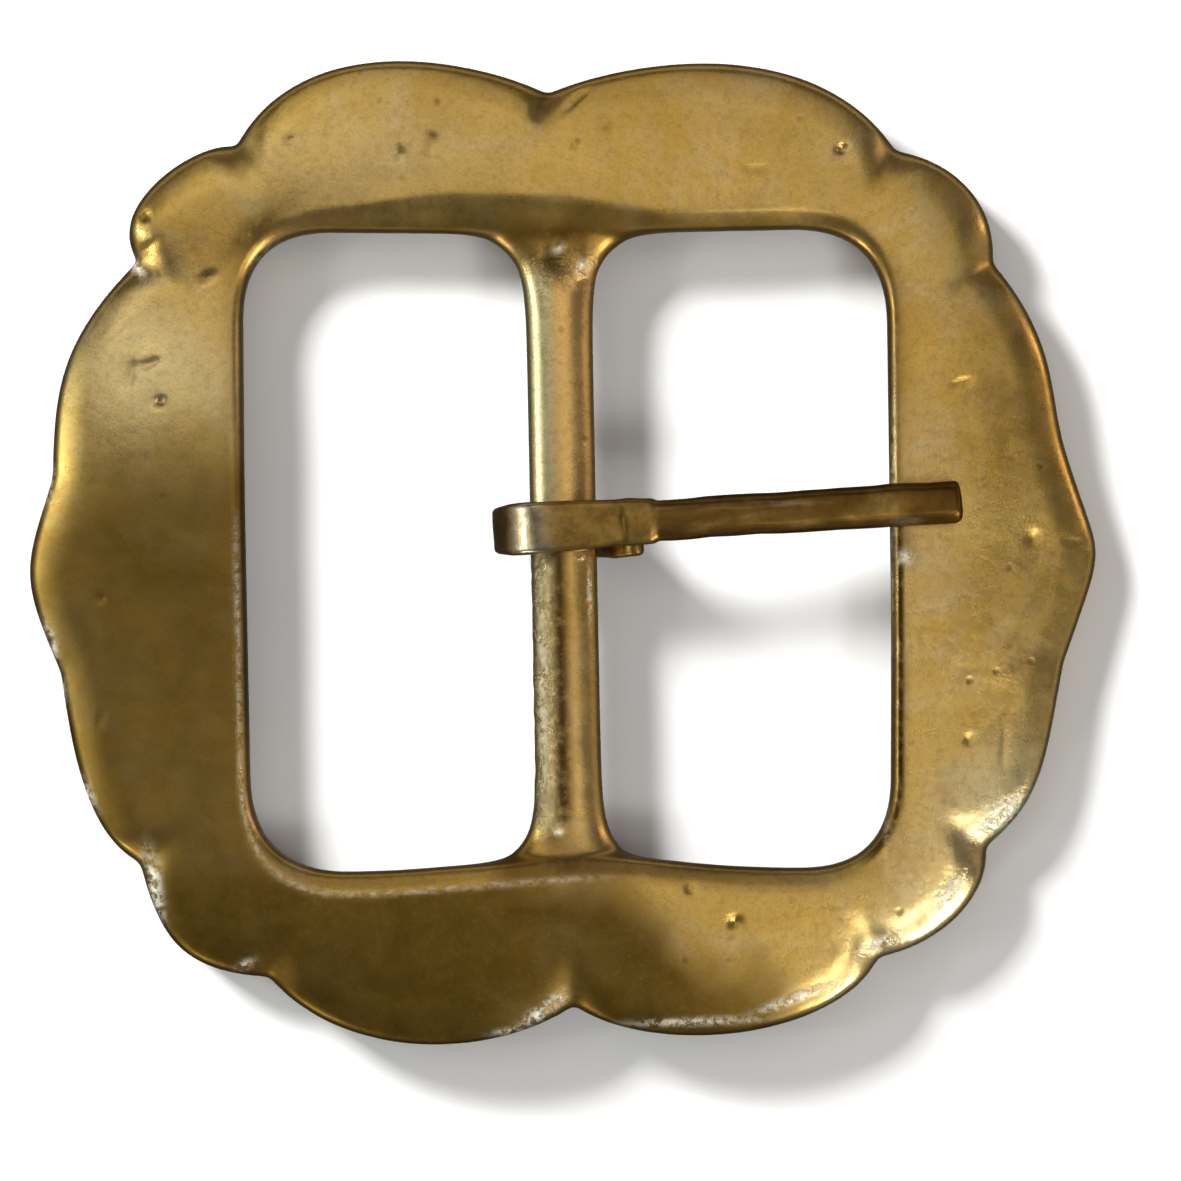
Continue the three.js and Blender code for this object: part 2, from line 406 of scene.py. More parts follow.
def groove_depth(x, y):
    """The grooves that run in from the sharp notches, deepest at the rim."""
    depth = np.zeros_like(x)
    for i, (at, _, _) in enumerate(SCALLOPS):
        if i in SOFT_NOTCHES:
            continue
        before = np.array(SCALLOPS[i - 1][0])
        after = np.array(SCALLOPS[(i + 1) % len(SCALLOPS)][0])
        inward = (before - at) / np.linalg.norm(before - at) + (after - at) / np.linalg.norm(after - at)
        inward /= np.linalg.norm(inward)
        dx, dy = x - at[0], y - at[1]
        along = dx * inward[0] + dy * inward[1]
        across = dx * inward[1] - dy * inward[0]
        fade = np.clip(1 - along / GROOVE_LENGTH, 0, 1.3) ** 1.5
        width = GROOVE_WIDTH * (0.45 + 0.55 * np.clip(1 - along / GROOVE_LENGTH, 0, 1))
        depth = np.maximum(depth, GROOVE_DEPTH * fade * np.exp(-((across / width) ** 2)))
    return depth


# Casting pits and knocks on the face: place, radius and depth.
PITS = [
    ((19.9, 28.6), 0.45, 0.3), ((-11.7, 28.2), 0.5, 0.18), ((-28.8, 10.6), 0.45, 0.25),
    ((0.9, 28.9), 0.4, 0.15), ((9.1, -24.2), 0.5, 0.18), ((12.3, -26.5), 0.6, 0.22),
    ((-29.8, 23.9), 0.4, 0.2), ((24.6, -7.0), 0.3, 0.15), ((33.6, 0.9), 0.7, 0.12),
    ((-19.5, 29.2), 0.5, 0.1), ((29.0, -13.5), 0.4, 0.12), ((-33.0, -3.5), 0.4, 0.1),
]


def pit_depth(x, y):
    depth = np.zeros_like(x)
    for at, radius, deep in PITS:
        away = np.hypot(x - at[0], y - at[1]) / (0.7 * radius)
        depth += deep * np.exp(-(away**2) * 1.4)
    return depth


# Short creases and knocks: middle, half length, turn in degrees, half width, depth.
CREASES = [
    ((-30.9, 12.6), 0.9, 80, 0.22, 0.12), ((-29.6, 13.3), 0.8, 20, 0.22, 0.10),
    ((36.8, 0.6), 0.9, -12, 0.12, 0.10), ((0.9, 32.0), 1.3, 45, 0.20, 0.12),
    ((-25.4, 19.5), 0.6, 30, 0.25, 0.12), ((-1.6, 31.4), 0.9, 60, 0.5, 0.14),
    ((-33.0, -12.0), 0.7, 70, 0.15, 0.06), ((28.5, 12.0), 0.8, 15, 0.2, 0.08),
    ((14.0, 27.2), 1.1, 5, 0.25, 0.08), ((-9.5, 28.9), 0.8, 75, 0.45, 0.10),
    ((31.5, -14.0), 1.4, 85, 0.15, 0.05), ((-30.2, 21.3), 1.6, 35, 0.25, 0.10),
]


def crease_depth(x, y):
    depth = np.zeros_like(x)
    for at, half_length, turn, half_width, deep in CREASES:
        u, v = turned(x, y, at, turn, half_length, half_width)
        depth += deep * np.exp(-(u**4) - v**2)
    return depth


# Dark grime and painted shade, as soft ovals: middle, reach along and across, turn in degrees, strength.
# The ovals along the bands round the windows are painted shade.
GRIME_AND_SHADE = [
    ((-0.8, 20.5), (1.3, 1.5), 20, 1.0), ((1.5, 21.4), (1.0, 0.7), -40, 0.7),
    ((0.0, 22.6), (3.8, 0.8), 0, 0.75), ((-1.4, 31.9), (0.7, 0.9), 20, 0.5),
    ((-22.0, 22.8), (2.8, 0.9), 40, 0.8), ((-30.0, 23.7), (0.4, 0.4), 0, 0.5),
    ((-25.8, 19.4), (0.9, 0.35), 20, 0.5), ((-30.2, 19.4), (1.8, 0.3), 30, 0.4),
    ((23.9, 0.7), (1.1, 0.8), 0, 0.7), ((24.0, -9.0), (0.45, 9.0), 0, 0.5),
    ((24.5, -0.4), (0.9, 0.8), 0, 0.45), ((23.8, 14.0), (0.4, 6.0), 0, 0.4),
    ((0.6, -22.3), (2.6, 0.7), 0, 0.7), ((12.0, -22.7), (8.0, 0.45), 0, 0.45),
    ((3.0, 30.1), (0.5, 0.4), 0, 0.4), ((-23.0, -2.0), (0.5, 14.0), 0, 0.3),
    ((-10.0, 22.9), (9.0, 0.5), 0, 0.3), ((-28.4, 10.4), (0.35, 0.3), 0, 0.5),
]

# Painted glints and highlights on the rims, notches, bar and window edges, with a few spots of bare worn
# metal, as the same kind of ovals.
GLINTS_AND_WEAR = [
    ((-29.2, -24.0), (2.3, 0.5), -80, 1.0), ((-36.7, -6.5), (1.4, 0.3), -70, 0.9),
    ((-36.0, -9.6), (1.2, 0.3), -80, 0.9), ((-34.2, -17.1), (1.5, 0.3), -62, 0.9),
    ((-30.5, 20.3), (0.9, 0.4), -53, 1.0), ((-36.9, 4.7), (1.3, 0.35), 80, 0.9),
    ((-1.5, -32.9), (1.6, 0.5), 38, 1.0), ((-3.8, -34.3), (1.2, 0.25), 8, 0.9),
    ((8.8, -33.6), (4.0, 0.25), 2, 0.8), ((31.3, -19.0), (2.2, 0.8), 38, 0.9),
    ((22.7, -28.1), (1.2, 0.45), 20, 0.9), ((-21.3, 21.0), (1.1, 0.3), 45, 1.0),
    ((1.4, 20.2), (0.5, 0.4), 60, 1.0), ((-0.3, 21.5), (0.4, 0.25), 20, 0.8),
    ((-1.5, -10.5), (7.5, 0.4), 91, 0.7), ((-0.3, -20.1), (0.3, 0.25), 0, 1.0),
    ((23.4, -4.0), (14.0, 0.18), 89, 0.7), ((24.4, -0.45), (0.55, 0.42), 10, 1.0),
    ((1.4, -0.5), (0.3, 0.2), 0, 0.8), ((-20.0, -20.9), (1.6, 0.4), -48, 0.5),
    ((1.95, -3.2), (2.0, 0.16), 91, 1.0), ((27.6, -24.4), (1.6, 0.5), 55, 0.8),
    ((16.5, -31.9), (2.6, 0.3), 20, 0.7), ((-22.7, -29.6), (0.7, 0.35), 30, 0.7),
]


# Broad areas painted paler than the rest, a painted pale sheen, as the same kind of ovals.
PALE_SHEEN = [
    ((31.0, -18.5), (6.0, 4.0), 50, 0.70), ((25.5, -27.0), (8.0, 3.0), 38, 0.65),
    ((-30.0, 13.0), (7.0, 6.0), 0, 0.45), ((-14.0, 27.5), (9.0, 3.5), 8, 0.30),
]


def spots(table, x, y):
    """The strongest of a table's soft ovals."""
    amount = np.zeros_like(x)
    for at, (long, wide), turn, strength in table:
        u, v = turned(x, y, at, turn, long, wide)
        amount = np.maximum(amount, strength * np.exp(-(u**2) - v**2))
    return amount


def bar_middle(y):
    return BAR_OFFSET - BAR_LEAN * y


def root_wear(x, y):
    """The rough hollow where the bar's top end joins the rail."""
    away = np.hypot((x + 0.3) / 1.7, (y - ROOT_HOLLOW_Y) / 1.5)
    rough = 0.06 * waves((x, y), 1.3, 21) + 0.03 * waves((x, y), 0.6, 22)
    return np.exp(-(away**2)) * (0.24 + rough)


def flank_wear(x, y):
    """The rough left flank of the bar, below the prong."""
    aside = (x - bar_middle(y) + 1.5) / 0.8
    along = smoothstep(0.5, -2.0, y) * smoothstep(-21.5, -17.0, y)
    return 0.035 * waves((x, y), 1.2, 23) * np.exp(-(aside**2)) * along


# Broad low swellings left by hand filing: middle, reach along and across, turn in degrees, height.
SWELLINGS = [
    ((-30.0, 9.5), (9.0, 5.5), 4, 0.26), ((-31.0, 4.0), (9.0, 12.0), 0, 0.28),
    ((-30.5, -17.0), (5.0, 9.0), 10, 0.10), ((8.0, -28.5), (7.0, 4.0), -35, 0.13),
    ((-12.0, -29.0), (10.0, 3.0), -6, 0.10),
    ((-17.0, 28.0), (9.0, 2.6), 14, 0.10), ((12.0, 28.5), (9.0, 2.6), -6, 0.08),
    ((30.0, 6.0), (3.4, 12.0), 0, 0.08), ((27.5, -22.0), (4.0, 6.0), -40, 0.12),
    ((-27.5, 23.5), (4.5, 3.0), 40, 0.14), ((27.0, 23.0), (4.5, 3.0), -40, 0.10),
]


def swelling(x, y):
    height = np.zeros_like(x)
    for at, (long, wide), turn, high in SWELLINGS:
        u, v = turned(x, y, at, turn, long, wide)
        height += high * np.exp(-(u**2) - v**2)
    return height


def face_height():
    """How far the face stands above the back, before its edges are rounded."""
    x, y = chart.mesh()
    from_rim = chart.grids["from_rim"]
    from_opening = chart.grids["from_opening"]
    crown = RIM_FALL * (1 - np.clip(from_rim / RIM_FALL_WIDTH, -0.4, 1)) ** 2
    inner = INNER_FALL * (1 - np.clip(from_opening / INNER_FALL_WIDTH, 0, 1)) ** 2
    uneven = 0.030 * waves((x, y), 15, 1) + 0.004 * waves((x, y), 6, 2) + 0.002 * waves((x, y), 1.8, 3)
    shaped = uneven + swelling(x, y) - FACE_DROP
    marks = groove_depth(x, y) + pit_depth(x, y) + crease_depth(x, y)
    return THICKNESS - crown - inner + shaped - marks


def band_shape(part):
    """The band's width (part 0) or drop (part 1): broad along the top and foot, narrow at the sides."""
    x, _ = chart.mesh()
    gx, gy = np.gradient(chart.grids["from_opening"], GRID_SPACING)
    share = gy**2 / np.maximum(gx**2 + gy**2, 1e-6)
    top = np.interp(x, BAND_TOP_PLACES, BAND_TOP[part])
    end = np.where(gy > 0, top, BAND_FOOT[part])
    return BAND_SIDE[part] + (end - BAND_SIDE[part]) * share


chart.grids["face"] = face_height()
chart.grids["band_width"] = band_shape(0)
chart.grids["band_drop"] = band_shape(1)
plan_x, plan_y = chart.mesh()
chart.grids["wear"] = root_wear(plan_x, plan_y) + flank_wear(plan_x, plan_y)


def rounded_corner(inward, outside, round_in, round_down):
    """Field of a rounded edge: inward is the distance in from it, outside is height above the face."""
    u = np.maximum((round_in - inward) / round_in, 0)
    v = np.maximum((outside + round_down) / round_down, 0)
    return (np.hypot(u, v) - 1) * min(round_in, round_down)


def bar_field(x, y, z):
    middle = 0.5 * (BAR_CREST + BAR_BOTTOM)
    half_height = 0.5 * (BAR_CREST - BAR_BOTTOM)
    flare = FLARE_SIZE * np.exp(np.minimum((np.abs(y) - FLARE_START) / FLARE_PACE, FLARE_LIMIT))
    across = np.abs(x - bar_middle(y)) / (BAR_HALF_WIDTH + flare)
    up = (z - middle) / half_height
    top = (across**BAR_CROWN + np.maximum(up, 0) ** BAR_CROWN) ** (1 / BAR_CROWN)
    under = (across**BAR_SQUARENESS + np.maximum(-up, 0) ** BAR_SQUARENESS) ** (1 / BAR_SQUARENESS)
    body = (np.where(up > 0, top, under) - 1) * half_height
    return np.maximum(body, np.abs(y) - BAR_HALF_LENGTH)


def frame_field(x, y, z):
    from_rim = chart.read("from_rim", x, y)
    from_opening = chart.read("from_opening", x, y)
    above = z - arch(x) - chart.read("face", x, y)
    below = arch(x) - z
    width = chart.read("band_width", x, y)
    slope = chart.read("band_drop", x, y) / width
    band = (above + slope * (width - from_opening)) / np.sqrt(1 + slope**2)
    face = smooth_max(above, band, BAND_SOFTNESS)
    rails = np.maximum.reduce([
        rounded_corner(from_rim, above, *OUTER_ROUND),
        rounded_corner(from_rim, below, *BACK_ROUND),
        rounded_corner(from_opening, face, *INNER_ROUND),
        rounded_corner(from_opening, below, *BACK_ROUND),
    ])
    joined = smooth_min(rails, bar_field(x, y, z), BAR_BLEND)
    joined = np.maximum(np.maximum(joined, below), -z)  # nothing under the arch or the ground
    return joined + chart.read("wear", x, y)


# Where the painted dark reflection lies over the lower left of the rails
DARK_REFLECTION_TOP = 6.4
DARK_REFLECTION_FADE_UP = 3.4
DARK_REFLECTION_FOOT_X, DARK_REFLECTION_FOOT_Y = 2.6, -24.3  # a point of its slanting edge on the bottom rail
DARK_REFLECTION_FADE_ACROSS = 6.0


def dark_reflection_share(x, y):
    """Painted dark reflection, olive-dark, on the left rail's lower part and the left half of the bottom
    rail.
    """
    ragged = 0.7 * waves((x, y), 9, 31) + 0.35 * waves((x, y), 3, 32)
    top = DARK_REFLECTION_TOP - 0.11 * np.maximum(-28.0 - x, 0) ** 1.8  # it starts lower towards the rim
    below = smoothstep(top + DARK_REFLECTION_FADE_UP, top - DARK_REFLECTION_FADE_UP, y + ragged)
    edge = DARK_REFLECTION_FOOT_X - 1.77 * (y - DARK_REFLECTION_FOOT_Y)  # and slants across the bottom rail
    beside = smoothstep(edge + DARK_REFLECTION_FADE_ACROSS, edge - DARK_REFLECTION_FADE_ACROSS, x + 1.5 * ragged)
    beside = np.maximum(beside, smoothstep(-18.0, -21.5, x))
    middle = np.exp(-(((y + 1.5) / 6.0) ** 2)) * smoothstep(-36.5, -32.0, x)
    return below * beside * (1 + 0.12 * middle + 0.30 * smoothstep(-21.5, -25.0, y))


def bar_marks(x, y):
    """The bar's painted dark reflection stripe and scraped flank below the prong, then its painted pale
    highlight on the left side and painted warm reflection on the right side.
    """
    across = x - bar_middle(y)
    on_bar = smoothstep(21.0, 19.0, np.abs(y)) * (np.abs(across) < 4)
    below_prong = smoothstep(0.5, -0.5, y)
    # painted dark reflection down the bar's middle below the prong
    reflection_stripe = np.exp(-(((across + 0.35) / 0.6) ** 2)) * smoothstep(-19.8, -19.0, y) * below_prong
    flank = np.exp(-(((across + 1.6) / 0.7) ** 2)) * smoothstep(-21.0, -18.5, y) * smoothstep(0.5, -1.5, y)
    # painted pale highlight on the bar's left side
    pale_sheen = smoothstep(0.2, -1.3, across) * (0.55 + 0.45 * smoothstep(-6.0, 3.0, y))
    # painted warm reflection on the bar's right side
    warm_reflection = smoothstep(-0.9, 0.3, across) * (0.25 + 0.75 * smoothstep(-3.0, 3.0, y))
    return reflection_stripe * on_bar, flank, pale_sheen * on_bar, warm_reflection * on_bar


def build_frame(material):
    low = FRAME_LOW - 0.7
    high = FRAME_HIGH + 0.7
    points, quads = surface(frame_field, low, high, FRAME_MESH)
    x, y, z = points.T
    from_opening = chart.read("from_opening", x, y)
    past_band = from_opening - chart.read("band_width", x, y)
    above_back = z - arch(x)
    root = np.exp(-(((np.abs(y) - BAR_ROOT_Y) / 1.5) ** 2)) * smoothstep(6.0, 3.5, np.abs(x))
    band = smoothstep(2.2, 0.2, from_opening) * (from_opening > -0.5)
    marks = 1.2 * groove_depth(x, y) + 2.5 * pit_depth(x, y) + 2.2 * crease_depth(x, y)
    reflection_stripe, flank, pale_sheen, warm_reflection = bar_marks(x, y)
    pocket = np.exp(-(((x - 0.1) / 1.9) ** 2) - (((y - ROOT_HOLLOW_Y) / 1.3) ** 2))
    gutter_shade = np.exp(-(((from_opening - 0.55) / 0.32) ** 4))  # painted shade in the band along the right window's lower edge
    gutter_shade *= smoothstep(20.5, 22.5, x) * smoothstep(4.0, 0.5, y)
    lip_highlight = np.exp(-(((past_band + 0.1) / 0.22) ** 2))  # a painted highlight line along the left window's lower edge
    lip_highlight *= smoothstep(4.0, 0.0, y) * smoothstep(6.0, 0.0, x)
    # the painted dark reflection stops at the foot's band
    off_band = np.maximum(smoothstep(-0.3, 0.2, past_band), smoothstep(-16.0, -10.0, y))
    on_face = smoothstep(1.5, 2.4, above_back)
    attributes = {
        # brown in the bar's roots, grooves, pits and creases, and painted shade on the band round the
        # windows, darker along the top
        "hollow_and_band_shade": np.clip(np.maximum(root, band * (0.2 + 0.3 * (y > 0))) + marks, 0, 1),
        # dark grime, with painted shade in the window bands and a painted dark reflection down the bar
        "grime_and_shade": np.maximum(spots(GRIME_AND_SHADE, x, y), np.maximum(reflection_stripe, gutter_shade)),
        # painted glints and highlights, with a few bare worn spots
        "glint_and_wear": np.maximum(spots(GLINTS_AND_WEAR, x, y), 0.30 * lip_highlight) * on_face,
        "rough": np.maximum(flank, pocket),
        # painted pale sheen and highlight
        "pale_sheen": spots(PALE_SHEEN, x, y) + pale_sheen,
        # painted warm reflection
        "warm_reflection": warm_reflection,
        # painted dark reflection over the lower left of the rails
        "painted_dark_reflection": dark_reflection_share(x, y) * off_band,
    }
    return piece("brass_frame", points, quads, attributes, material)


# ---------------------------------------------------------------- the prong's shape


def loop_line():
    """The strip's middle line in side view, about the bar's axis, from the shank to the tucked end."""
    left = np.radians(np.linspace(90, 270, 40))
    right = np.linspace(-math.pi / 2, LOOP_LIFT - math.pi / 2, 14)
    leave = LOOP_RADIUS * np.array([math.sin(LOOP_LIFT), -math.cos(LOOP_LIFT)])
    tuck = LOOP_RADIUS - STRIP_THICKNESS - TUCK_GAP
    inset = STRIP_THICKNESS / 2
    t = np.linspace(0, 1, 24)[1:, None]
    a, b = leave, leave + (0.9, 1.6)
    c, d = np.array([TUCK_END - 1.6, tuck]), np.array([TUCK_END - inset, tuck])
    return np.concatenate([
        [(STRIP_END - inset, LOOP_RADIUS)],
        np.column_stack([LOOP_RADIUS * np.cos(left) - LOOP_SLACK, LOOP_RADIUS * np.sin(left)]),
        LOOP_RADIUS * np.column_stack([np.cos(right), np.sin(right)]),
        (1 - t) ** 3 * a + 3 * (1 - t) ** 2 * t * b + 3 * (1 - t) * t * t * c + t**3 * d,
    ])


SIDE_SPACING = 0.06

side = Chart((-7.0, -5.5), (31.0, 6.5), SIDE_SPACING)


def chart_loop():
    """The side view's distance from the strip's middle line, and the nearest point's share of it."""
    line = loop_line()
    x, z = side.mesh()
    nearest = np.full(x.shape, 99.0)
    along = np.zeros(x.shape)
    lengths = np.linalg.norm(np.diff(line, axis=0), axis=1)
    begun = np.concatenate([[0], np.cumsum(lengths)])
    for k, (a, b) in enumerate(zip(line[:-1], line[1:])):
        step = b - a
        t = np.clip(((x - a[0]) * step[0] + (z - a[1]) * step[1]) / (step @ step), 0, 1)
        gap = np.hypot(x - a[0] - t * step[0], z - a[1] - t * step[1])
        closer = gap < nearest
        nearest = np.where(closer, gap, nearest)
        along = np.where(closer, begun[k] + t * lengths[k], along)
    side.grids["gap"] = nearest
    side.grids["share"] = along / begun[-1]


chart_loop()


def rounded_meeting(a, b, radius):
    """Field of the space inside both a and b, whose common edge is rounded."""
    a = a + radius
    b = b + radius
    outside = np.hypot(np.maximum(a, 0), np.maximum(b, 0))
    return outside + np.minimum(np.maximum(a, b), 0) - radius


def strip_field(x, y, z):
    gap = side.read("gap", x, z)
    share = side.read("share", x, z)
    shift = TUCK_SHIFT * smoothstep(0.62, 0.95, share)
    curl, root = STRIP_HALF_WIDTHS
    half_width = curl + (root - curl) * smoothstep(-1.0, STRIP_END, x)
    half_width = half_width - 0.25 * smoothstep(-3.6, -5.2, x) - 0.12 * smoothstep(0.8, 1.0, share)
    over = gap - STRIP_THICKNESS / 2
    aside = np.abs(y - shift) - half_width
    return rounded_meeting(over, aside, STRIP_ROUND)


def shank_field(x, y, z):
    cos, sin = math.cos(SHANK_DROP), math.sin(SHANK_DROP)
    u = (x - STRIP_END) * cos - (z - LOOP_RADIUS) * sin
    w = (x - STRIP_END) * sin + (z - LOOP_RADIUS) * cos
    root, tip = SHANK_HALF_WIDTHS
    half_width = root + (tip - root) * np.clip(u / SHANK_LENGTH, 0, 1)
    half_height = SHANK_HALF_HEIGHT * (0.5 + 0.5 * smoothstep(-1.5, 6.0, u))
    power = SHANK_SQUARENESS
    section = ((np.abs(y) / half_width) ** power + (np.abs(w) / half_height) ** power) ** (1 / power)
    body = (section - 1) * half_height
    body = smooth_max(body, w - 0.93 * SHANK_HALF_HEIGHT, 0.2)  # hammered flat on top
    body = smooth_max(body, 0.866 * w - 0.5 * y - 1.24, 0.08)  # and filed along one shoulder
    end = np.maximum(u - SHANK_LENGTH, -(u + SHANK_OVERLAP))
    return rounded_meeting(body, end, SHANK_TIP_ROUND)


def prong_field(x, y, z):
    joined = smooth_min(strip_field(x, y, z), shank_field(x, y, z), PRONG_BLEND)
    dents = 0.026 * waves((x, y, z), 3.5, 5) + 0.008 * waves((x, y, z), 1.2, 6)
    return joined + dents


CURL_SHARE = 0.318  # how far along the strip's middle line its curl turns down, where the painted highlight sits


def build_prong(material):
    low = np.array([-LOOP_SLACK - LOOP_RADIUS - 1.5, -3.0, -LOOP_RADIUS - 1.2])
    high = np.array([STRIP_END + SHANK_LENGTH + 0.8, 2.6, LOOP_RADIUS + 2.0])
    points, quads = surface(prong_field, low, high, PRONG_MESH)
    x, y, z = points.T
    share = side.read("share", x, z)
    on_strip = smoothstep(STRIP_END + 0.4, STRIP_END - 0.4, x)
    # worn pale metal with a painted highlight where the curl turns down
    worn_and_glint = on_strip * np.exp(-(((share - CURL_SHARE) / 0.045) ** 2))
    cos, sin = math.cos(PRONG_SKEW), math.sin(PRONG_SKEW)
    placed = np.column_stack([x * cos - y * sin, x * sin + y * cos, z]) + AXIS
    return piece("brass_prong", placed, quads, {"worn_and_glint": worn_and_glint, "strip": on_strip}, material)


# ---------------------------------------------------------------- materials


class Nodes:
    """A short way to write a material's node tree."""

    def __init__(self, name):
        self.material = bpy.data.materials.new(name)
        self.material.use_nodes = True
        self.tree = self.material.node_tree
        self.shader = self.tree.nodes["Principled BSDF"]

    def add(self, kind, settings=None, **inputs):
        node = self.tree.nodes.new(kind)
        for key, value in (settings or {}).items():
            setattr(node, key, value)
        for key, value in inputs.items():
            self.put(value, node.inputs[key.replace("_", " ")])
        return node

    def put(self, value, socket):
        if isinstance(value, bpy.types.NodeSocket):
            self.tree.links.new(value, socket)
        else:
            socket.default_value = value

    def position(self):
        return self.add("ShaderNodeTexCoord").outputs["Object"]

    def noise(self, scale, detail=4.0, roughness=0.55, distortion=0.0, stretch=(1, 1, 1)):
        place = self.add("ShaderNodeMapping", Vector=self.position())
        place.inputs["Scale"].default_value = stretch
        node = self.add(
            "ShaderNodeTexNoise",
            Vector=place.outputs["Vector"], Scale=scale, Detail=detail, Roughness=roughness,
            Distortion=distortion,
        )
        return node.outputs["Fac"]

    def pits(self, scale, where):
        """1 inside small scattered pits, which come only where the other noise is high."""
        cells = self.add("ShaderNodeTexVoronoi", Vector=self.position(), Scale=scale)
        hole = self.ramp(cells.outputs["Distance"], (0.04, 1.0), (0.15, 0.0))
        return self.math("MULTIPLY", hole, self.ramp(where, (0.56, 0.0), (0.64, 1.0)))

    def attribute(self, name):
        return self.add("ShaderNodeAttribute", {"attribute_name": name}).outputs["Fac"]

    def ramp(self, value, *stops):
        node = self.add("ShaderNodeValToRGB", Fac=value)
        elements = node.color_ramp.elements
        while len(elements) < len(stops):
            elements.new(0.5)
        for element, (at, colour) in zip(elements, stops):
            element.position = at
            element.color = (*colour, 1) if isinstance(colour, tuple) else (colour, colour, colour, 1)
        return node.outputs["Color"]

    def math(self, operation, a, b=0.0, c=0.0, clamp=False):
        node = self.add("ShaderNodeMath", {"operation": operation, "use_clamp": clamp})
        for value, socket in zip((a, b, c), node.inputs):
            self.put(value, socket)
        return node.outputs[0]

    def mix(self, factor, a, b, blend="MIX"):
        node = self.add("ShaderNodeMix", {"data_type": "RGBA", "blend_type": blend})
        self.put(factor, node.inputs[0])
        self.put((*a, 1) if isinstance(a, tuple) else a, node.inputs[6])
        self.put((*b, 1) if isinstance(b, tuple) else b, node.inputs[7])
        return node.outputs[2]

    def bump(self, height, strength, distance, normal=None):
        node = self.add("ShaderNodeBump", Height=height, Strength=strength, Distance=distance)
        if normal is not None:
            self.put(normal, node.inputs["Normal"])
        return node.outputs["Normal"]


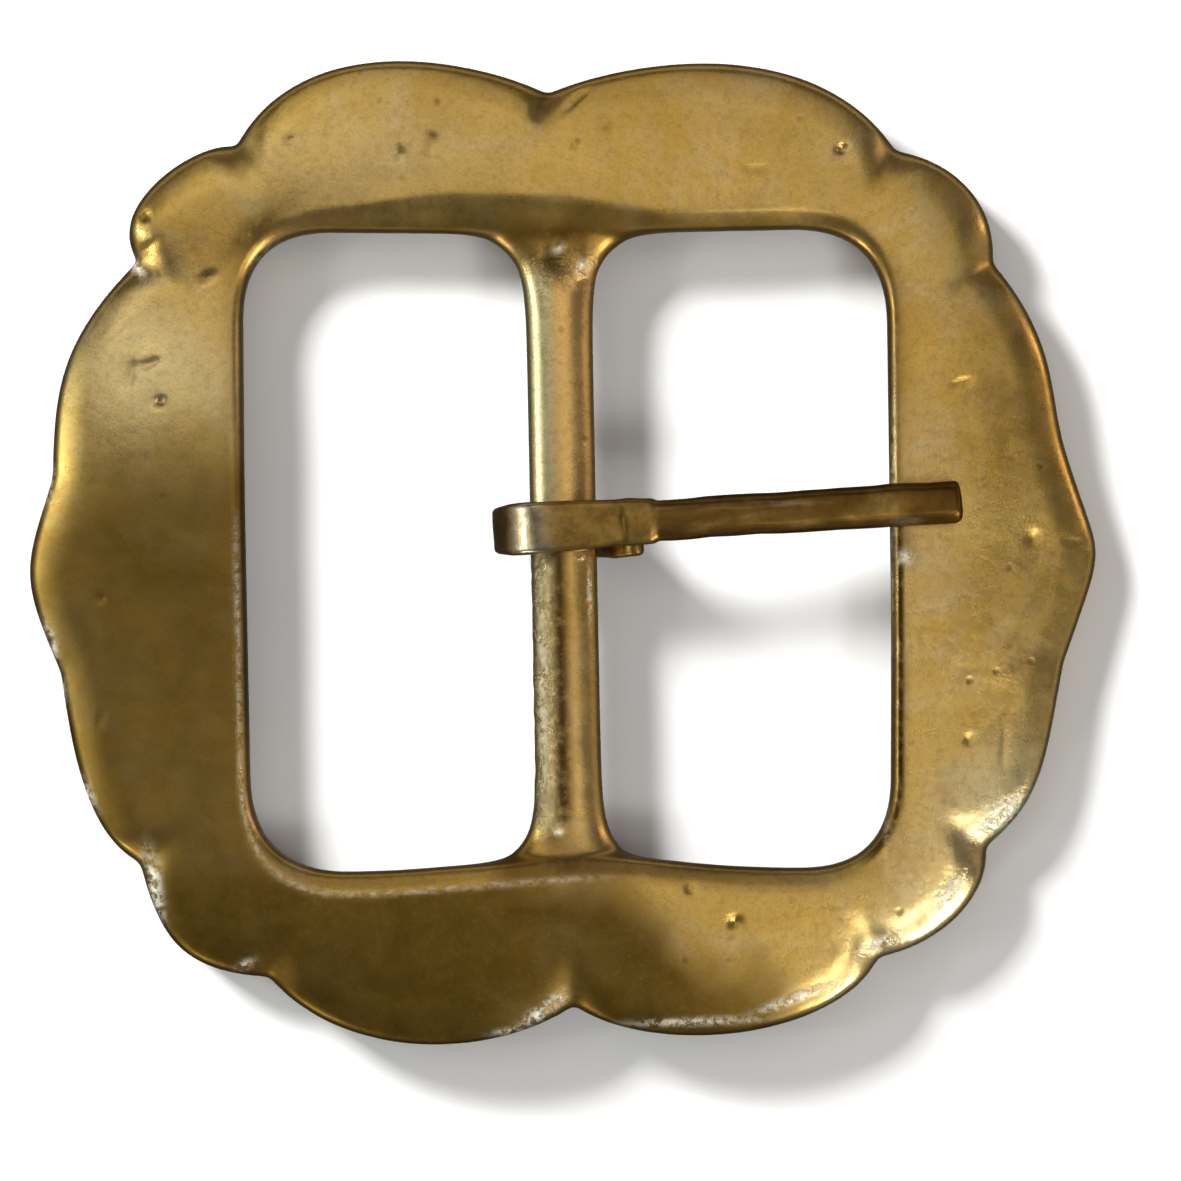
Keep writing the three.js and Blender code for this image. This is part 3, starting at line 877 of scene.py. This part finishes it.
def cast_brass():
    """Satin golden brass: mottled tone, brown in the hollows, a painted dark reflection low down on the
    left, painted highlights and sheen.
    """
    n = Nodes("cast_brass")
    blotch = n.noise(70, 6, 0.62, 0.8)
    film = n.noise(190, 6, 0.68, 0.6)
    grain = n.noise(1700, 3, 0.65)
    dust = n.noise(5200, 2, 0.6)
    streak = n.noise(600, 4, 0.6, 0.3, (1.0, 0.10, 1.0))
    brushed = n.noise(640, 4, 0.6, 0.3, (0.12, 1.0, 1.0))
    pits = n.pits(420, n.noise(90, 3, 0.5))
    tones = ((0.28, (0.61, 0.375, 0.078)), (0.5, (0.73, 0.46, 0.112)), (0.7, (0.77, 0.53, 0.165)))
    colour = n.ramp(blotch, *tones)
    colour = n.mix(n.ramp(film, (0.5, 0.0), (0.72, 0.5)), colour, (0.53, 0.31, 0.08))
    colour = n.mix(n.ramp(n.noise(130, 5, 0.7, 1.0), (0.48, 0.0), (0.72, 0.55)), colour, (0.80, 0.62, 0.36))
    # painted pale sheen and highlight
    colour = n.mix(n.attribute("pale_sheen"), colour, (0.89, 0.77, 0.42))
    # painted warm reflection on the bar's right side
    colour = n.mix(n.attribute("warm_reflection"), colour, (0.93, 0.58, 0.20))
    # painted dark reflection: olive-dark over the lower left of the rails
    painted_dark_reflection = n.math("MULTIPLY", n.attribute("painted_dark_reflection"), n.ramp(film, (0.3, 0.85), (0.6, 1.0)))
    colour = n.mix(n.math("MULTIPLY", painted_dark_reflection, 0.76, clamp=True), colour, (0.15, 0.088, 0.012))
    colour = n.mix(n.ramp(grain, (0.34, 0.22), (0.52, 0.0)), colour, (0.30, 0.17, 0.035))
    colour = n.mix(n.ramp(dust, (0.36, 0.16), (0.5, 0.0)), colour, (0.26, 0.15, 0.03))
    colour = n.mix(n.ramp(dust, (0.58, 0.0), (0.72, 0.08)), colour, (0.80, 0.60, 0.28))
    # painted glints and highlights, broken up
    ragged = n.ramp(n.noise(1500, 4, 0.75), (0.42, 0.1), (0.55, 1.0))
    glint_and_wear = n.math("MULTIPLY", n.attribute("glint_and_wear"), ragged)
    # brown in hollows, plus painted shade on the window band
    hollow_and_band_shade = n.math("MULTIPLY", n.attribute("hollow_and_band_shade"), n.ramp(film, (0.25, 0.6), (0.6, 1.0)))
    colour = n.mix(n.math("MULTIPLY", hollow_and_band_shade, 0.85), colour, (0.27, 0.135, 0.022))
    colour = n.mix(n.math("MULTIPLY", pits, 0.45), colour, (0.16, 0.08, 0.015))
    # near-black: grime, and painted shade in the window bands
    patchy = n.ramp(n.noise(1100, 4, 0.65), (0.3, 0.5), (0.5, 1.0))
    dirt_and_shade = n.math("MULTIPLY", n.attribute("grime_and_shade"), patchy)
    colour = n.mix(n.math("MULTIPLY", dirt_and_shade, 0.95), colour, (0.075, 0.038, 0.007))
    # near-white painted glints
    colour = n.mix(glint_and_wear, colour, (1.0, 0.96, 0.80))
    n.put(colour, n.shader.inputs["Base Color"])
    # painted glints lose some metal so the key light whitens them
    n.put(n.math("MULTIPLY_ADD", glint_and_wear, -0.4, 1.0, clamp=True), n.shader.inputs["Metallic"])
    rough = n.math("MULTIPLY_ADD", n.noise(300, 5, 0.6), 0.24, 0.15)
    rough = n.math("MULTIPLY_ADD", hollow_and_band_shade, 0.12, rough)
    rough = n.math("MULTIPLY_ADD", painted_dark_reflection, 0.10, rough)
    rough = n.math("MULTIPLY_ADD", glint_and_wear, 0.08, rough)
    n.put(rough, n.shader.inputs["Roughness"])
    normal = n.bump(n.noise(260, 5, 0.65), 0.20, 0.00005)
    normal = n.bump(streak, 0.08, 0.00003, normal)
    normal = n.bump(brushed, 0.05, 0.00003, normal)
    normal = n.bump(grain, 0.30, 0.00002, normal)
    normal = n.bump(dust, 0.25, 0.00001, normal)
    normal = n.bump(n.math("SUBTRACT", 1.0, pits), 0.3, 0.00005, normal)
    chatter = n.math("MULTIPLY", n.noise(1400, 5, 0.7, 0.5), n.attribute("rough"))
    normal = n.bump(chatter, 1.0, 0.00035, normal)
    normal = n.bump(n.math("MULTIPLY", n.noise(1900, 4, 0.7), glint_and_wear), 0.5, 0.0002, normal)
    n.put(normal, n.shader.inputs["Normal"])
    return n.material


def aged_brass():
    """Brass gone brown, streaked lengthwise, worn pale where the loop rubs, with a painted highlight there.
    """
    n = Nodes("aged_brass")
    blotch = n.noise(240, 5, 0.65, 0.8, (0.35, 1.0, 1.0))
    speck = n.noise(1300, 4, 0.6)
    tones = ((0.3, (0.10, 0.045, 0.008)), (0.5, (0.20, 0.108, 0.023)), (0.72, (0.38, 0.25, 0.085)))
    colour = n.ramp(blotch, *tones)
    rubbed = n.ramp(n.noise(420, 5, 0.6, 0.4, (0.18, 1.0, 0.6)), (0.52, 0.0), (0.66, 0.55))
    colour = n.mix(rubbed, colour, (0.52, 0.43, 0.29))
    strip = n.math("MULTIPLY", n.attribute("strip"), n.ramp(n.noise(500, 4, 0.6), (0.35, 0.3), (0.6, 0.8)))
    colour = n.mix(strip, colour, (0.42, 0.26, 0.065))
    worn_and_glint = n.math("MULTIPLY", n.attribute("worn_and_glint"), n.ramp(blotch, (0.3, 0.3), (0.6, 1.0)))
    colour = n.mix(worn_and_glint, colour, (0.80, 0.72, 0.54))
    colour = n.mix(n.ramp(speck, (0.3, 0.5), (0.55, 0.0)), colour, (0.09, 0.05, 0.012))
    n.put(colour, n.shader.inputs["Base Color"])
    n.shader.inputs["Metallic"].default_value = 1.0
    rough = n.math("MULTIPLY_ADD", n.noise(380, 5, 0.6), 0.25, 0.2)
    n.put(n.math("MULTIPLY_ADD", worn_and_glint, -0.12, rough), n.shader.inputs["Roughness"])
    normal = n.bump(n.noise(320, 5, 0.6, 0.0, (0.3, 1.0, 1.0)), 0.35, 0.00008)
    normal = n.bump(speck, 0.3, 0.00002, normal)
    n.put(normal, n.shader.inputs["Normal"])
    return n.material


def pale_floor():
    n = Nodes("pale_floor")
    tone = n.ramp(n.noise(30, 2, 0.5), (0.3, 0.90), (0.7, 0.92))
    n.put(tone, n.shader.inputs["Base Color"])
    n.shader.inputs["Roughness"].default_value = 0.9
    n.shader.inputs["Specular IOR Level"].default_value = 0.1
    return n.material


# ---------------------------------------------------------------- pieces

brass_frame = build_frame(cast_brass())
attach(brass_frame, "frame")
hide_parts("frame")

brass_prong = build_prong(aged_brass())
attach(brass_prong, "prong")
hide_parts("prong")


# ---------------------------------------------------------------- floor, lights and camera

FLOOR_SIZE = 3.0
VIEW_CENTRE = Vector((0.00197, -0.00286, 0.004))
VIEW_WIDTH = 0.08444
CAMERA_HEIGHT = 0.45
CLOSEST_VIEW = 0.01
SENSOR = 36.0
OVERHEAD_TURN = math.radians(-20)


def add_floor():
    half = FLOOR_SIZE / 2
    mesh = bpy.data.meshes.new("floor")
    corners = [(-half, -half, 0), (half, -half, 0), (half, half, 0), (-half, half, 0)]
    mesh.from_pydata(corners, [], [(0, 1, 2, 3)])
    mesh.materials.append(pale_floor())
    floor = bpy.data.objects.new("floor", mesh)
    bpy.context.scene.collection.objects.link(floor)
    floor.visible_glossy = False  # the metal's edges stay dark, as against a dark bench


def add_light(name, place, aim, size, power, colour):
    lamp = bpy.data.lights.new(name, "AREA")
    lamp.shape = "RECTANGLE"
    lamp.size, lamp.size_y = size
    lamp.energy = power
    lamp.color = colour
    obj = bpy.data.objects.new(name, lamp)
    obj.location = place
    obj.rotation_euler = (Vector(aim) - Vector(place)).to_track_quat("-Z", "Y").to_euler()
    bpy.context.scene.collection.objects.link(obj)
    return obj


def add_wall(name, place, power, colour):
    """A broad dim panel low down, which only the metal's reflections show."""
    wall = add_light(name, place, (0, 0, 0.05), (2.0, 0.6), power, colour)
    wall.visible_diffuse = False


def add_camera():
    camera = bpy.data.cameras.new("camera")
    camera.sensor_width = SENSOR
    camera.lens = SENSOR * CAMERA_HEIGHT / VIEW_WIDTH
    camera.clip_start = CLOSEST_VIEW
    obj = bpy.data.objects.new("camera", camera)
    obj.location = VIEW_CENTRE + Vector((0, 0, CAMERA_HEIGHT))
    bpy.context.scene.collection.objects.link(obj)
    bpy.context.scene.camera = obj


def add_world():
    world = bpy.data.worlds.new("studio")
    world.use_nodes = True
    background = world.node_tree.nodes["Background"]
    background.inputs["Color"].default_value = (0.9, 0.92, 1.0, 1)
    background.inputs["Strength"].default_value = 0.09
    bpy.context.scene.world = world


add_floor()
add_world()
key = add_light("key", (-0.50, 0.43, 0.42), (0, 0, 0), (0.22, 0.22), 12.4, (1.0, 0.995, 0.98))
key.visible_glossy = False  # it only casts the soft shadow; the panels make the metal's reflections
for name, place, size, power in (
    ("overhead", (-0.142, 0.122, 0.7), (0.70, 0.22), 0.33),
    ("overhead_far", (-0.054, 0.363, 0.7), (0.70, 0.28), 0.29),
):
    panel = add_light(name, place, (*place[:2], 0), size, power, (1.0, 0.95, 0.87))
    panel.rotation_euler = (0, 0, OVERHEAD_TURN)
add_light("upper_left", (-0.27, 0.19, 0.66), (0, 0, 0), (0.2, 0.2), 0.05, (0.80, 0.93, 1.0))
add_light("lower_right", (0.21, -0.17, 0.64), (0, 0, 0), (0.14, 0.10), 0.26, (1.0, 0.99, 0.98))
add_light("west_panel", (-0.46, 0.0, 0.34), (0, 0, 0), (0.3, 0.3), 0.30, (0.97, 1.0, 0.85))
add_light("west_lamp", (-0.52, -0.03, 0.38), (0, 0, 0), (0.05, 0.04), 0.20, (1.0, 1.0, 0.95))
add_light("east_glow", (0.42, 0.12, 0.24), (0, 0.02, 0), (0.05, 0.2), 0.09, (1.0, 0.76, 0.64))
add_light("south_east", (0.34, -0.32, 0.42), (0, 0, 0), (0.2, 0.14), 1.10, (1.0, 1.0, 0.98))
add_light("south_west", (-0.32, -0.40, 0.22), (0, 0, 0), (0.10, 0.06), 0.40, (1.0, 1.0, 0.95))
add_wall("north_wall", (0.0, 1.0, 0.32), 1.1, (1.0, 0.90, 0.76))
add_wall("south_wall", (0.0, -1.0, 0.30), 0.8, (1.0, 0.94, 0.85))
add_wall("east_wall", (1.0, 0.0, 0.30), 0.8, (1.0, 0.90, 0.80))
add_wall("west_wall", (-1.0, 0.0, 0.30), 0.9, (0.98, 1.0, 0.92))
add_camera()

bpy.context.scene.view_settings.view_transform = "Standard"
